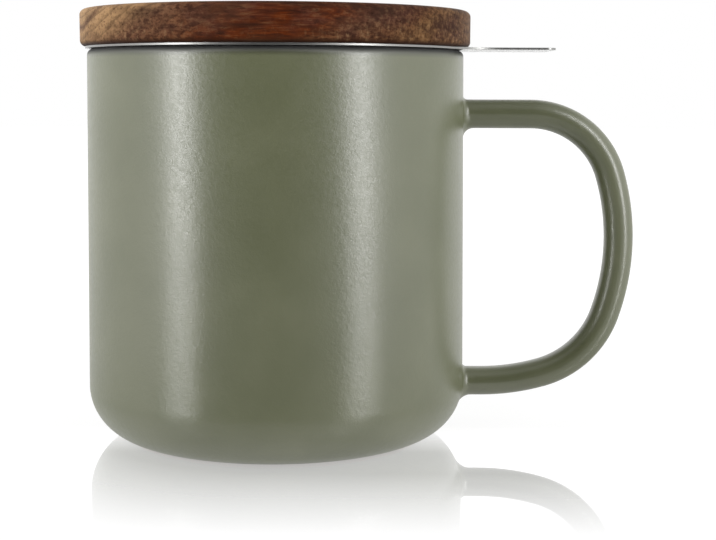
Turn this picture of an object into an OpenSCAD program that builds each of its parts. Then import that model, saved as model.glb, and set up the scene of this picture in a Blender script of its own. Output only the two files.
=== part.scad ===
/* [Mug] */
// Outer diameter of the mug at its rim
rim_d = 90; // [84:1:110]
// How much wider the outside is at the foot curve than at the rim
foot_spread = 1.4; // [0:0.2:4]
// Height of the mug from its foot ring to the top of its rim
mug_h = 93.6; // [88:0.1:120]
// Thickness of the side wall
wall_t = 4; // [3:0.1:5]
// Height of the inside floor above the table
base_t = 6; // [4:0.1:9]
// Radius of the outside curve between side and base
foot_curve_r = 13.1; // [9:0.1:18]
// Rounding of the rim, inside and outside
lip_r = 1.6; // [0.6:0.1:2]
// Width of the flat ring that the mug stands on
foot_ring_w = 4; // [2:0.5:8]
// Depth of the recess inside the foot ring
foot_recess = 1.2; // [0.5:0.1:2]

/* [Handle] */
// Thickness of the handle, seen from the side
handle_t = 6.9; // [5:0.1:7.6]
// Width of the handle, seen from its back
handle_w = 7.8; // [7.8:0.2:12]
// From the top of the rim down to the middle of the upper arm
upper_arm_drop = 15.1; // [12:0.1:25]
// Height of the middle of the lower arm
lower_arm_z = 12.9; // [12:0.1:22]
// Straight length of the upper arm outside the mug
upper_arm_l = 16.5; // [10:0.5:25]
// Middle radius of the upper bend
upper_bend_r = 20.5; // [14:0.5:24]
// Middle radius of the lower bend
lower_bend_r = 23; // [16:0.1:26]
// Middle radius of the easy bend that brings the lower arm level
easy_bend_r = 54; // [40:1:70]
// Angle that the upper bend turns through
upper_turn = 73; // [65:1:80]
// Angle that the lower bend turns through
lower_turn = 55; // [48:1:60]
// Angle that the easy bend turns through
easy_turn = 16; // [8:1:20]
// Radius of the fillet above the root of each arm
root_top_r = 1.1; // [0.5:0.1:2.5]
// Radius of the fillet below the root of each arm
root_low_r = 2.6; // [0.5:0.1:3]

/* [Infuser] */
// Thickness of the flange, tab and collar
sheet_t = 0.5; // [0.4:0.05:0.8]
// Thickness of the perforated sheet
mesh_t = 0.4; // [0.3:0.05:0.6]
// How far the flange reaches past the rim, all round
flange_over = 0.4; // [0:0.1:1.5]
// Length of the tab beyond the flange
tab_l = 20.8; // [16:0.1:30]
// Width of the tab
tab_w = 23; // [16:0.5:30]
// Radius of the sweep from the flange into the tab
tab_sweep_r = 14; // [8:0.5:16]
// Radius of the corners at the end of the tab
tab_corner_r = 2.5; // [1:0.5:6]
// Gap between the collar and the mouth of the mug
collar_play = 0.8; // [0.4:0.1:1.5]
// Depth of the collar below the rim
collar_h = 12; // [10.5:0.5:18]
// Width of the ledge from the collar in to the basket
ledge_w = 4.2; // [3.8:0.1:7]
// Inside radius of the folds at the ledge and the basket floor
fold_r = 1; // [0.5:0.1:1.1]
// Length over which the ring and the floor lap the basket wall
lap_h = 4.5; // [3:0.5:7]
// Gap left between lapped sheets
lap_gap = 0.05; // [0.02:0.01:0.1]
// Gap between the basket and the inside floor of the mug
basket_clear = 12; // [8:0.5:30]
// Diameter of the perforations
hole_d = 2.4; // [1.8:0.1:3]
// Distance between perforations
hole_pitch = 6.6; // [5.5:0.1:9]
// Plain margin between the perforations and the laps
hole_margin = 2.4; // [1:0.1:5]

/* [Lid] */
// How far the lid reaches past the rim of the mug, all round
lid_over = 1.6; // [0:0.1:3]
// Thickness of the lid above the flange
lid_t = 8.6; // [6:0.1:14]
// Rounding of the top edge
lid_top_r = 1.3; // [0.5:0.1:3.5]
// Rounding of the lower edge
lid_low_r = 1.4; // [0.5:0.1:2.2]
// Depth of the plug below the lid
plug_h = 7.5; // [6:0.1:9]
// Gap between the plug and the inside of the collar
plug_play = 2.8; // [2:0.1:4]
// Rounding of the lower edge of the plug
plug_edge_r = 1; // [0.3:0.1:1.2]

/* [Seal] */
// Depth of the groove turned into the plug
groove_depth = 1.8; // [1:0.1:2.5]
// Height of the groove
groove_h = 4; // [3:0.1:4.4]
// Gap between the fins and the inside of the collar
fin_play = 0.3; // [0.1:0.05:0.6]
// Thickness of each fin
fin_t = 0.7; // [0.5:0.05:0.9]
// Gap between the ring and the sides of its groove
ring_play = 0.05; // [0.02:0.01:0.1]

/* [Hidden] */
$fn = 96;
small_fn = 24;
overcut = 1;

// Colours
glaze_colour = "#8c9277";
steel_colour = "#c4c6c8";
wood_colour = "#8a5233";
seal_colour = "#e6e4de";

// Mug
rim_r = rim_d / 2;
taper_a = atan(foot_spread / 2 / (mug_h - foot_curve_r));
wall_normal = [cos(taper_a), sin(taper_a)];
inner_curve_r = foot_curve_r - wall_t;
// The rim's rounding takes at most half the wall
lip = min(lip_r, wall_t / 2);
mouth_r = wall_r(mug_h, wall_t);
// Centre of the foot curve in the half section
foot = curve_centre(foot_curve_r, 0, 0);

// Handle
handle_z = mug_h - upper_arm_drop;
round_r = handle_t / 2;
side_turn = 180 - upper_turn - lower_turn - easy_turn;
upper_bend_drop = upper_bend_r * (1 - cos(upper_turn));
lower_bend_drop = lower_bend_r * (cos(upper_turn + side_turn) - cos(180 - easy_turn));
easy_bend_drop = easy_bend_r * (1 - cos(easy_turn));
side_drop = handle_z - lower_arm_z - upper_bend_drop - lower_bend_drop - easy_bend_drop;
side_bend_r = side_drop / (cos(upper_turn) - cos(upper_turn + side_turn));
// How far the roots start inside the wall, which then trims them
root_depth = 1;
// How far the fillets are sunk into the wall, so that they cross it at a clear angle
root_sink = 0.06;
section_steps = 10;
// Most that a bend turns between two rings
ring_turn = 6;
fillet_steps = 4;

// Infuser
flange_r = rim_r + flange_over;
collar_r = mouth_r - collar_play;
collar_in_r = collar_r - sheet_t;
basket_r = collar_r - ledge_w;
ledge_z = mug_h - collar_h;
skirt_r = basket_r + lap_gap;
wall_top_z = ledge_z - fold_r;
basket_z = base_t + basket_clear;
pan_r = basket_r - mesh_t - lap_gap;
hole_fn = 16;
band_low_z = basket_z + lap_h + hole_margin + hole_d / 2;
band_high_z = wall_top_z - lap_h - hole_margin - hole_d / 2;
row_pitch = hole_pitch * sin(60);
row_count = floor((band_high_z - band_low_z) / row_pitch) + 1;
row_step = (band_high_z - band_low_z) / (row_count - 1);
column_count = round(2 * PI * basket_r / hole_pitch);
column_a = 360 / column_count;
floor_rings = floor((pan_r - mesh_t - fold_r - hole_margin) / hole_pitch);
holes_in_ring = 6;

// Lid
lid_z = mug_h + sheet_t;
lid_r = rim_r + lid_over;
plug_r = collar_in_r - plug_play;
plug_z = lid_z - plug_h;
groove_r = plug_r - groove_depth;
groove_z = plug_z + (plug_h - groove_h) / 2;
fin_r = collar_in_r - fin_play;
fin_tip_r = fin_t / 2;

// Radius of the mug's side at a height, set in from the outer face by an inset
function wall_r(z, inset) =
    rim_r + ((mug_h - z) * sin(taper_a) - inset) / cos(taper_a);

// Centre of a curve of radius r that joins a floor to the side, set in by an inset
function curve_centre(r, inset, floor_z) =
    [wall_r(floor_z + r, inset + r), floor_z + r];

// Outer radius of the mug at a height, also where the foot curve draws it in
function outer_r(z) =
    z > foot[1] + foot_curve_r * sin(taper_a) ? wall_r(z, 0)
        : foot[0] + sqrt(pow(foot_curve_r, 2) - pow(foot[1] - z, 2));

// Half section of the mug as if it were solid
module outer_section() {
    top = [wall_r(mug_h - lip, lip), mug_h - lip];
    union() {
        polygon([[0, 0], [foot[0], 0], foot + foot_curve_r * wall_normal,
                 top + lip * wall_normal, [top[0], mug_h], [0, mug_h]]);
        translate(foot) circle(foot_curve_r);
        translate(top) circle(lip, $fn = small_fn);
    }
}

// Half section of the space inside, flaring over the rounded inner lip
module hollow_section() {
    corner = curve_centre(inner_curve_r, wall_t, base_t);
    top = [wall_r(mug_h - lip, wall_t - lip), mug_h - lip];
    difference() {
        union() {
            polygon([[0, base_t], [corner[0], base_t], corner + inner_curve_r * wall_normal,
                     top - lip * wall_normal, top, [top[0], mug_h + overcut],
                     [0, mug_h + overcut]]);
            translate(corner) circle(inner_curve_r);
        }
        translate(top) circle(lip, $fn = small_fn);
    }
}

module mug_body() {
    ring_in_r = foot[0] - foot_ring_w;
    color(glaze_colour)
    rotate_extrude()
    difference() {
        outer_section();
        hollow_section();
        polygon([[0, -overcut], [ring_in_r, -overcut], [ring_in_r, 0],
                 [ring_in_r - foot_recess, foot_recess], [0, foot_recess]]);
    }
}

// Points round the handle's section, each as [angle, side]
section = [for (side = [1, -1], step = [0 : section_steps])
              [(1 - side) * 90 + step / section_steps * 180, side]];

// One of those points as [outward, sideways], grown by a margin
function section_point(p, grow) =
    [(round_r + grow) * cos(p[0]),
     (handle_w / 2 - round_r) * p[1] + (round_r + grow) * sin(p[0])];

// Places on the middle line are [x, z, heading], with the heading turned down from +X
function after_bend(from, bend_r, turn) =
    let (heading = from[2] + turn)
    [from[0] + bend_r * (sin(heading) - sin(from[2])),
     from[1] + bend_r * (cos(heading) - cos(from[2])), heading];

// One ring of the section at a place on the middle line
function bend_ring(at) =
    [for (p = section)
        let (point = section_point(p, 0))
        [at[0] + point[0] * sin(at[2]), point[1], at[1] + point[0] * cos(at[2])]];

// One ring in the fillet of a level arm, where the fillet has turned by an angle
function fillet_ring(at, turn, depth) =
    [for (p = section)
        let (up = cos(p[0]) * cos(at[2]),
             fillet_r = (root_top_r * (1 + up) + root_low_r * (1 - up)) / 2,
             point = section_point(p, fillet_r * (1 - sin(turn))),
             z = at[1] + point[0] * cos(at[2]))
        [sqrt(pow(outer_r(z), 2) - pow(point[1], 2)) + fillet_r * (1 - cos(turn)) - depth,
         point[1], z]];

// Rings of one root from inside the wall out to where its fillet ends
function root_rings(at) =
    concat([fillet_ring(at, 0, root_depth)],
           [for (step = [0 : fillet_steps])
               fillet_ring(at, step * 90 / fillet_steps, root_sink)]);

// Rings through one bend, with its start and without its end
function bend_rings(from, bend_r, turn) =
    let (steps = ceil(turn / ring_turn))
    [for (step = [0 : steps - 1]) bend_ring(after_bend(from, bend_r, turn * step / steps))];

function reversed(list) = [for (i = [len(list) - 1 : -1 : 0]) list[i]];

// Closed solid through a list of rings that all have as many points
module loft(rings) {
    count = len(rings[0]);
    last = len(rings) - 1;
    points = [for (ring = rings, p = ring) p];
    sides = [for (i = [0 : last - 1], j = [0 : count - 1])
        let (a = i * count + j, b = i * count + (j + 1) % count)
        each [[a, b, b + count], [a, b + count, a + count]]];
    first_cap = [for (j = [count - 1 : -1 : 0]) j];
    last_cap = [for (j = [0 : count - 1]) last * count + j];
    polyhedron(points, concat(sides, [first_cap, last_cap]), convexity = 4);
}

module mug_handle() {
    upper_start = [rim_r + upper_arm_l, handle_z, 0];
    side_start = after_bend(upper_start, upper_bend_r, upper_turn);
    lower_start = after_bend(side_start, side_bend_r, side_turn);
    easy_start = after_bend(lower_start, lower_bend_r, lower_turn);
    easy_end = after_bend(easy_start, easy_bend_r, easy_turn);
    color(glaze_colour)
    difference() {
        loft(concat(root_rings(upper_start),
                    bend_rings(upper_start, upper_bend_r, upper_turn),
                    bend_rings(side_start, side_bend_r, side_turn),
                    bend_rings(lower_start, lower_bend_r, lower_turn),
                    bend_rings(easy_start, easy_bend_r, easy_turn),
                    [bend_ring(easy_end)],
                    reversed(root_rings(easy_end))));
        rotate_extrude() outer_section();
    }
}

// Quarter of a fold in sheet of a thickness, in one of the four quadrants
module fold(fold_in_r, thick, quadrant) {
    reach = fold_in_r + thick + overcut;
    rotate(quadrant * 90)
    difference() {
        intersection() {
            circle(fold_in_r + thick, $fn = small_fn * 2);
            square(reach);
        }
        circle(fold_in_r, $fn = small_fn * 2);
    }
}

// Outline of the flange and the tab, with sweeps between them
module flange_plan() {
    sweep_y = tab_w / 2 + tab_sweep_r;
    sweep_x = sqrt(pow(flange_r + tab_sweep_r, 2) - pow(sweep_y, 2));
    tab_end = flange_r + tab_l;
    union() {
        circle(flange_r);
        translate([0, -tab_w / 2]) square([tab_end - tab_corner_r, tab_w]);
        translate([0, tab_corner_r - tab_w / 2]) square([tab_end, tab_w - 2 * tab_corner_r]);
        for (side = [0, 1])
            mirror([0, side]) {
                translate([tab_end - tab_corner_r, tab_w / 2 - tab_corner_r])
                    circle(tab_corner_r, $fn = small_fn * 2);
                difference() {
                    polygon([[0, 0], [sweep_x, sweep_y] * flange_r / (flange_r + tab_sweep_r),
                             [sweep_x, sweep_y], [sweep_x, 0]]);
                    translate([sweep_x, sweep_y]) circle(tab_sweep_r);
                }
            }
    }
}

// Half section of the collar, its ledge and the skirt that holds the basket wall
module collar_section() {
    bend_x = collar_r + lip;
    bend_z = mug_h - lip;
    low_x = collar_in_r - fold_r;
    low_z = ledge_z + sheet_t + fold_r;
    high_x = skirt_r + sheet_t + fold_r;
    union() {
        translate([bend_x, bend_z]) fold(lip, sheet_t, 1);
        translate([collar_in_r, low_z]) square([sheet_t, bend_z - low_z]);
        translate([low_x, low_z]) fold(fold_r, sheet_t, 3);
        translate([high_x, ledge_z]) square([low_x - high_x, sheet_t]);
        translate([high_x, wall_top_z]) fold(fold_r, sheet_t, 1);
        translate([skirt_r, wall_top_z - lap_h]) square([sheet_t, lap_h]);
    }
}

module infuser_rim() {
    color(steel_colour)
    union() {
        translate([0, 0, mug_h])
        linear_extrude(sheet_t)
        difference() {
            flange_plan();
            circle(collar_r + lip);
        }
        rotate_extrude() collar_section();
    }
}

module infuser_wall() {
    color(steel_colour)
    difference() {
        rotate_extrude()
            translate([basket_r - mesh_t, basket_z])
            square([mesh_t, wall_top_z - basket_z]);
        for (row = [0 : row_count - 1], column = [0 : column_count - 1])
            rotate([0, 0, (column + (row % 2) / 2) * column_a])
            translate([basket_r - mesh_t - overcut, 0, band_low_z + row * row_step])
            rotate([0, 90, 0])
            cylinder(d = hole_d, h = mesh_t + 2 * overcut, $fn = hole_fn);
    }
}

module infuser_floor() {
    fold_x = pan_r - mesh_t - fold_r;
    fold_z = basket_z + mesh_t + fold_r;
    color(steel_colour)
    difference() {
        rotate_extrude()
        union() {
            translate([0, basket_z]) square([fold_x, mesh_t]);
            translate([fold_x, fold_z]) fold(fold_r, mesh_t, 3);
            translate([pan_r - mesh_t, fold_z])
                square([mesh_t, lap_h - mesh_t - fold_r]);
        }
        translate([0, 0, basket_z - overcut])
            cylinder(d = hole_d, h = mesh_t + 2 * overcut, $fn = hole_fn);
        for (ring = [1 : floor_rings], hole = [0 : holes_in_ring * ring - 1])
            rotate([0, 0, hole * 360 / (holes_in_ring * ring)])
            translate([ring * hole_pitch, 0, basket_z - overcut])
            cylinder(d = hole_d, h = mesh_t + 2 * overcut, $fn = hole_fn);
    }
}

module lid_disc() {
    lid_top_z = lid_z + lid_t;
    color(wood_colour)
    rotate_extrude()
    difference() {
        union() {
            polygon([[0, plug_z], [plug_r - plug_edge_r, plug_z], [plug_r, plug_z + plug_edge_r],
                     [plug_r, lid_z], [lid_r - lid_low_r, lid_z], [lid_r, lid_z + lid_low_r],
                     [lid_r, lid_top_z - lid_top_r], [lid_r - lid_top_r, lid_top_z],
                     [0, lid_top_z]]);
            translate([plug_r - plug_edge_r, plug_z + plug_edge_r])
                circle(plug_edge_r, $fn = small_fn);
            translate([lid_r - lid_low_r, lid_z + lid_low_r])
                circle(lid_low_r, $fn = small_fn * 2);
            translate([lid_r - lid_top_r, lid_top_z - lid_top_r])
                circle(lid_top_r, $fn = small_fn * 2);
        }
        translate([groove_r, groove_z]) square([groove_depth + overcut, groove_h]);
    }
}

module lid_seal() {
    ring_r = groove_r + ring_play;
    ring_z = groove_z + ring_play;
    ring_h = groove_h - 2 * ring_play;
    color(seal_colour)
    rotate_extrude()
    union() {
        translate([ring_r, ring_z]) square([plug_r - ring_r, ring_h]);
        for (fin_z = [ring_z + fin_tip_r, ring_z + ring_h - fin_tip_r]) {
            translate([plug_r, fin_z - fin_tip_r])
                square([fin_r - fin_tip_r - plug_r, fin_t]);
            translate([fin_r - fin_tip_r, fin_z]) circle(fin_tip_r, $fn = small_fn);
        }
    }
}

mug_body();
mug_handle();
infuser_rim();
infuser_wall();
infuser_floor();
lid_disc();
lid_seal();
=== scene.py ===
import math

import bmesh
import bpy
from mathutils import Matrix, Vector


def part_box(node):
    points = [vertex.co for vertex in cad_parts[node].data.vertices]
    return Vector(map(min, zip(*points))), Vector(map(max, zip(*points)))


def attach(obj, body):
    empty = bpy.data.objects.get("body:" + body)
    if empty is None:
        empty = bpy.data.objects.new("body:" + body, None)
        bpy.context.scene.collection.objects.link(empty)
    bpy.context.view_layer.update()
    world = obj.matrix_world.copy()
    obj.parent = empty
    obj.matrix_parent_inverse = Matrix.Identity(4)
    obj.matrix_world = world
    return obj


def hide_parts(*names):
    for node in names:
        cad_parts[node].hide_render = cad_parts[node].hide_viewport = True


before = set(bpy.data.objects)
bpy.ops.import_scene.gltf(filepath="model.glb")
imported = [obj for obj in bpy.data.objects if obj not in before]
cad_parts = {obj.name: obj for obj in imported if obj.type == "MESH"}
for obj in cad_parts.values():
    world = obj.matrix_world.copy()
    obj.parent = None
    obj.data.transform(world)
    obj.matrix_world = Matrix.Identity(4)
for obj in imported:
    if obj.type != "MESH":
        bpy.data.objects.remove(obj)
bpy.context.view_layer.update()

# ---------------------------------------------------------------- sizes, in metres

MM = 0.001
TURN = 2 * math.pi
# Points nearer than this are one point
WELD = 0.004 * MM
# Edges that turn by more than this are shaded sharp
SHARP_ANGLE = math.radians(40)
# Steps in a full turn about the axis
TURN_STEPS = 192

# Mug
RIM_R = 45.0 * MM
# How much wider the side is above the foot curve than at the rim
FOOT_SPREAD = 0.7 * MM
WALL = 4.0 * MM
BASE = 6.0 * MM
FOOT_CURVE = 13.1 * MM
LIP = 1.6 * MM
FOOT_RING_W = 4.0 * MM
FOOT_RECESS = 1.2 * MM
# Roundings of the recess under the foot and of the ring's inner edge
RECESS_ROUND = 0.8 * MM
RING_ROUND = 0.5 * MM
MUG_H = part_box("mug_body")[1][2]

# Handle: its path runs out along the upper arm, round the upper bend, down the side, round
# the lower bend and an easy bend, and back along the lower arm
HANDLE_T = 6.9 * MM
HANDLE_W = 7.8 * MM
UPPER_ARM_Z = MUG_H - 15.1 * MM
LOWER_ARM_Z = 12.9 * MM
UPPER_ARM_L = 16.5 * MM
UPPER_BEND_R = 20.5 * MM
LOWER_BEND_R = 23.0 * MM
EASY_BEND_R = 54.0 * MM
UPPER_TURN = math.radians(73)
LOWER_TURN = math.radians(55)
EASY_TURN = math.radians(16)
# Fillets above and below the root of each arm
ROOT_TOP_R = 1.1 * MM
ROOT_LOW_R = 2.6 * MM
# How far the fillets are sunk into the wall, and how deep in it the handle ends
ROOT_SINK = 0.03 * MM
ROOT_END = WALL / 4
# Rings of edges along a level arm, at shares of its length
ARM_RINGS = (0.35, 0.7)

# Infuser
SHEET = 0.5 * MM
MESH_SHEET = 0.4 * MM
FLANGE_R = 45.4 * MM
TAB_L = 20.8 * MM
TAB_W = 23.0 * MM
TAB_SWEEP = 14.0 * MM
TAB_CORNER = 2.5 * MM
COLLAR_R = 40.2 * MM
COLLAR_H = 12.0 * MM
BASKET_R = 36.0 * MM
# Inner radius of a fold in the sheet
FOLD = 1.0 * MM
LAP = 4.5 * MM
LAP_GAP = 0.05 * MM
BASKET_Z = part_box("infuser_wall")[0][2]
WALL_TOP_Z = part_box("infuser_wall")[1][2]
HOLE_R = 0.55 * MM
HOLE_SIDES = 12
# Perforations in one row round the basket
PITCH_COUNT = 100
HOLE_PITCH = TURN * BASKET_R / PITCH_COUNT
# Height of a row when a hole is equally far from all six round it
ROW_PITCH = HOLE_PITCH * math.sin(math.radians(60))
# Sheet without holes past a lap of the wall, and round the flat of the pan
WALL_MARGIN = 1.5 * MM
PAN_MARGIN = 2.0 * MM
PAN_STEPS = 144
# The seam is a lap inside the basket, from just above the pan's edge
SEAM_W = 7.0 * MM
SEAM_ABOVE_PAN = 0.6 * MM
SEAM_ANGLE = math.radians(90)
WELD_COUNT = 6
WELD_R = 1.0 * MM
WELD_DEPTH = 0.12 * MM
# Cells across the seam, and along it for each weld
SEAM_COLUMNS = 28
SEAM_ROWS = 16
# Width of the bevel that eases the rim ring's sharp edges
EASED = 0.12 * MM

# Lid
LID_Z = MUG_H + SHEET
LID_R = 46.6 * MM
LID_TOP_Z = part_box("lid_disc")[1][2]
LID_TOP_ROUND = 1.3 * MM
LID_LOW_ROUND = 1.4 * MM
PLUG_R = 36.9 * MM
PLUG_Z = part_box("lid_disc")[0][2]
PLUG_ROUND = 1.0 * MM
GROOVE_DEPTH = 1.8 * MM
GROOVE_H = 4.0 * MM
GROOVE_Z = PLUG_Z + (LID_Z - PLUG_Z - GROOVE_H) / 2
FIN_R = 39.4 * MM
FIN_T = 0.7 * MM
FIN_ROOT_R = 0.3 * MM

# ---------------------------------------------------------------- mesh helpers


def piece_from(bm, name, material, body, stands_for):
    """Makes an object of a finished bmesh, with its material, its body and the nodes it stands for."""
    bmesh.ops.recalc_face_normals(bm, faces=bm.faces[:])
    mesh = bpy.data.meshes.new(name)
    bm.to_mesh(mesh)
    bm.free()
    mesh.materials.append(material)
    mesh.shade_smooth()
    mesh.set_sharp_from_angle(angle=SHARP_ANGLE)
    piece = bpy.data.objects.new(name, mesh)
    bpy.context.scene.collection.objects.link(piece)
    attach(piece, body)
    if stands_for:
        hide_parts(*stands_for)
    return piece


def verts_of(geom):
    """The verts in a list of mesh parts."""
    return [item for item in geom if isinstance(item, bmesh.types.BMVert)]


def round_corner(bm, vert, radius, segments):
    """Rounds one corner of a flat outline to a radius."""
    a, b = [edge.other_vert(vert).co - vert.co for edge in vert.link_edges]
    turn = math.pi - a.angle(b)
    bmesh.ops.bevel(bm, geom=[vert], affect="VERTICES", offset_type="OFFSET",
                    offset=radius * math.tan(turn / 2), segments=segments,
                    profile=0.5, material=-1)


def outline(bm, corners):
    """A closed outline in the XZ plane from (radius, height, rounding, segments), as edges only."""
    verts = [bm.verts.new((corner[0], 0, corner[1])) for corner in corners]
    bm.faces.new(verts)
    for vert, corner in zip(verts, corners):
        if len(corner) > 2:
            round_corner(bm, vert, corner[2], corner[3])
    bmesh.ops.delete(bm, geom=bm.faces[:], context="FACES_ONLY")


def spin_round(bm):
    """Turns everything in the bmesh about the Z axis."""
    bmesh.ops.spin(bm, geom=bm.verts[:] + bm.edges[:], cent=(0, 0, 0), axis=(0, 0, 1),
                   angle=TURN, steps=TURN_STEPS, use_merge=True)
    bmesh.ops.remove_doubles(bm, verts=bm.verts[:], dist=WELD)


def turned(corners):
    """A solid turned about the Z axis from an outline that starts and ends on the axis, or closes."""
    bm = bmesh.new()
    outline(bm, corners)
    on_axis = [edge for edge in bm.edges if max(v.co.x for v in edge.verts) < WELD]
    bmesh.ops.delete(bm, geom=on_axis, context="EDGES")
    spin_round(bm)
    return bm


def open_ends(geom):
    """The new verts and edges that an extrusion or a spin of edges puts out."""
    verts = verts_of(geom)
    fresh = set(verts)
    edges = [item for item in geom
             if isinstance(item, bmesh.types.BMEdge) and set(item.verts) <= fresh]
    return verts, edges


def extruded(bm, edges):
    """Extrudes edges in place and returns the new verts and edges."""
    return open_ends(bmesh.ops.extrude_edge_only(bm, edges=edges)["geom"])


# ---------------------------------------------------------------- mug


def wall_r(z, inset=0.0):
    """Radius of the mug's side at a height, set in from its outer face."""
    return RIM_R + (MUG_H - z) * FOOT_SPREAD / (MUG_H - FOOT_CURVE) - inset


def outer_r(z):
    """Outer radius of the mug at a height, also where the foot curve draws it in."""
    if z > FOOT_CURVE:
        return wall_r(z)
    return wall_r(FOOT_CURVE, FOOT_CURVE) + math.sqrt(FOOT_CURVE ** 2 - (FOOT_CURVE - z) ** 2)


def mug_body_mesh():
    """The turned body: recessed foot, foot curve, side, rounded lip and the inside."""
    ring_in_r = wall_r(FOOT_CURVE, FOOT_CURVE) - FOOT_RING_W
    return turned([
        (0, FOOT_RECESS),
        (ring_in_r - FOOT_RECESS, FOOT_RECESS, RECESS_ROUND, 4),
        (ring_in_r, 0, RING_ROUND, 4),
        (wall_r(0), 0, FOOT_CURVE, 24),
        (RIM_R, MUG_H, LIP, 8),
        (RIM_R - WALL, MUG_H, LIP, 8),
        (wall_r(BASE, WALL), BASE, FOOT_CURVE - WALL, 16),
        (0, BASE),
    ])


def handle_section(bm):
    """The section of the handle, two half rounds joined by flats, where the upper arm ends."""
    corners = bmesh.ops.create_grid(bm, x_segments=1, y_segments=1, size=0.5)["verts"]
    bmesh.ops.scale(bm, vec=(HANDLE_T, HANDLE_W, 1), verts=corners)
    # just under half the thickness, so that the two roundings don't meet in one point
    bmesh.ops.bevel(bm, geom=corners, affect="VERTICES", offset_type="OFFSET",
                    offset=HANDLE_T * 0.499, segments=9, profile=0.5, material=-1)
    bmesh.ops.rotate(bm, cent=(0, 0, 0), matrix=Matrix.Rotation(math.pi / 2, 3, "Y"),
                     verts=bm.verts[:])
    bmesh.ops.delete(bm, geom=bm.faces[:], context="FACES_ONLY")


def root_on(bm, edges, start_x, arm_z):
    """Runs a level arm in to the mug, flaring into the wall with a fillet all round."""
    round_r = HANDLE_T / 2
    flat = HANDLE_W / 2 - round_r
    fillet_steps = 8
    run = start_x - outer_r(arm_z) - ROOT_LOW_R
    for share in ARM_RINGS:
        verts, edges = extruded(bm, edges)
        for vert in verts:
            vert.co.x = start_x - run * share
    section = None
    turns = [math.pi / 2 * (1 - step / fillet_steps) for step in range(fillet_steps + 1)]
    for turn, depth in [(turn, ROOT_SINK) for turn in turns] + [(0.0, ROOT_END)]:
        verts, edges = extruded(bm, edges)
        if section is None:
            section = [vert.co.copy() for vert in verts]
        for vert, point in zip(verts, section):
            across = max(-flat, min(flat, point.y))
            away = Vector((point.y - across, point.z - arm_z)).normalized()
            fillet_r = (ROOT_TOP_R * (1 + away.y) + ROOT_LOW_R * (1 - away.y)) / 2
            grown = round_r + fillet_r * (1 - math.sin(turn))
            y = across + away.x * grown
            z = arm_z + away.y * grown
            x = math.sqrt(outer_r(z) ** 2 - y ** 2) + fillet_r * (1 - math.cos(turn)) - depth
            vert.co = (x, y, z)


def mug_handle_mesh():
    """The handle: one section swept through four bends, with a level arm and a root at each end."""
    bm = bmesh.new()
    handle_section(bm)
    start = Vector((RIM_R + UPPER_ARM_L, 0, UPPER_ARM_Z))
    bmesh.ops.translate(bm, vec=start, verts=bm.verts[:])
    first = bm.edges[:]
    # the bend of the side takes up the turn and the height that the others leave
    side_turn = math.pi - UPPER_TURN - LOWER_TURN - EASY_TURN
    side_end = UPPER_TURN + side_turn
    upper_drop = UPPER_BEND_R * (1 - math.cos(UPPER_TURN))
    lower_drop = LOWER_BEND_R * (math.cos(side_end) + math.cos(EASY_TURN))
    easy_drop = EASY_BEND_R * (1 - math.cos(EASY_TURN))
    side_drop = UPPER_ARM_Z - LOWER_ARM_Z - upper_drop - lower_drop - easy_drop
    side_bend_r = side_drop / (math.cos(UPPER_TURN) - math.cos(side_end))
    at, heading, edges = start.copy(), 0.0, first
    for bend_r, turn, steps in ((UPPER_BEND_R, UPPER_TURN, 24), (side_bend_r, side_turn, 16),
                                (LOWER_BEND_R, LOWER_TURN, 20), (EASY_BEND_R, EASY_TURN, 8)):
        centre = at - Vector((math.sin(heading), 0, math.cos(heading))) * bend_r
        made = bmesh.ops.spin(bm, geom=edges, cent=centre, axis=(0, 1, 0), angle=turn,
                              steps=steps, use_merge=False)
        _, edges = open_ends(made["geom_last"])
        heading += turn
        at = centre + Vector((math.sin(heading), 0, math.cos(heading))) * bend_r
    root_on(bm, first, start.x, UPPER_ARM_Z)
    root_on(bm, edges, at.x, LOWER_ARM_Z)
    bmesh.ops.remove_doubles(bm, verts=bm.verts[:], dist=WELD)
    return bm


# ---------------------------------------------------------------- infuser


def spun_arc(bm, start, centre, angle, steps):
    """An arc of edges made by spinning one vertex about the Z direction."""
    vert = bm.verts.new(start)
    bmesh.ops.spin(bm, geom=[vert], cent=centre, axis=(0, 0, 1), angle=angle,
                   steps=steps, use_merge=False)


def flange_outline(bm, z):
    """The outer edge of the flange and the tab, with its sweeps, at a height."""
    sweep_y = TAB_W / 2 + TAB_SWEEP
    sweep_x = math.sqrt((FLANGE_R + TAB_SWEEP) ** 2 - sweep_y ** 2)
    reach = FLANGE_R / (FLANGE_R + TAB_SWEEP)
    ring_a = math.atan2(sweep_y, sweep_x)
    corner_x = FLANGE_R + TAB_L - TAB_CORNER
    corner_y = TAB_W / 2 - TAB_CORNER
    before = set(bm.verts)
    spun_arc(bm, (sweep_x * reach, sweep_y * reach, z), (0, 0, z), TURN - 2 * ring_a, 160)
    for side in (1, -1):
        spun_arc(bm, (sweep_x * reach, side * sweep_y * reach, z), (sweep_x, side * sweep_y, z),
                 side * (math.pi / 2 - ring_a), 16)
        spun_arc(bm, (corner_x, side * TAB_W / 2, z), (corner_x, side * corner_y, z),
                 -side * math.pi / 2, 8)
    bmesh.ops.remove_doubles(bm, verts=[v for v in bm.verts if v not in before], dist=WELD)
    fresh = {v for v in bm.verts if v not in before}
    loose = [v for v in fresh if len(v.link_edges) == 1]
    for side in (1, -1):
        bm.edges.new([v for v in loose if v.co.y * side > TAB_W / 2 - WELD])
    bm.edges.new([v for v in loose if abs(v.co.y) < TAB_W / 2 - WELD])
    return [e for e in bm.edges if set(e.verts) <= fresh]


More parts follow.
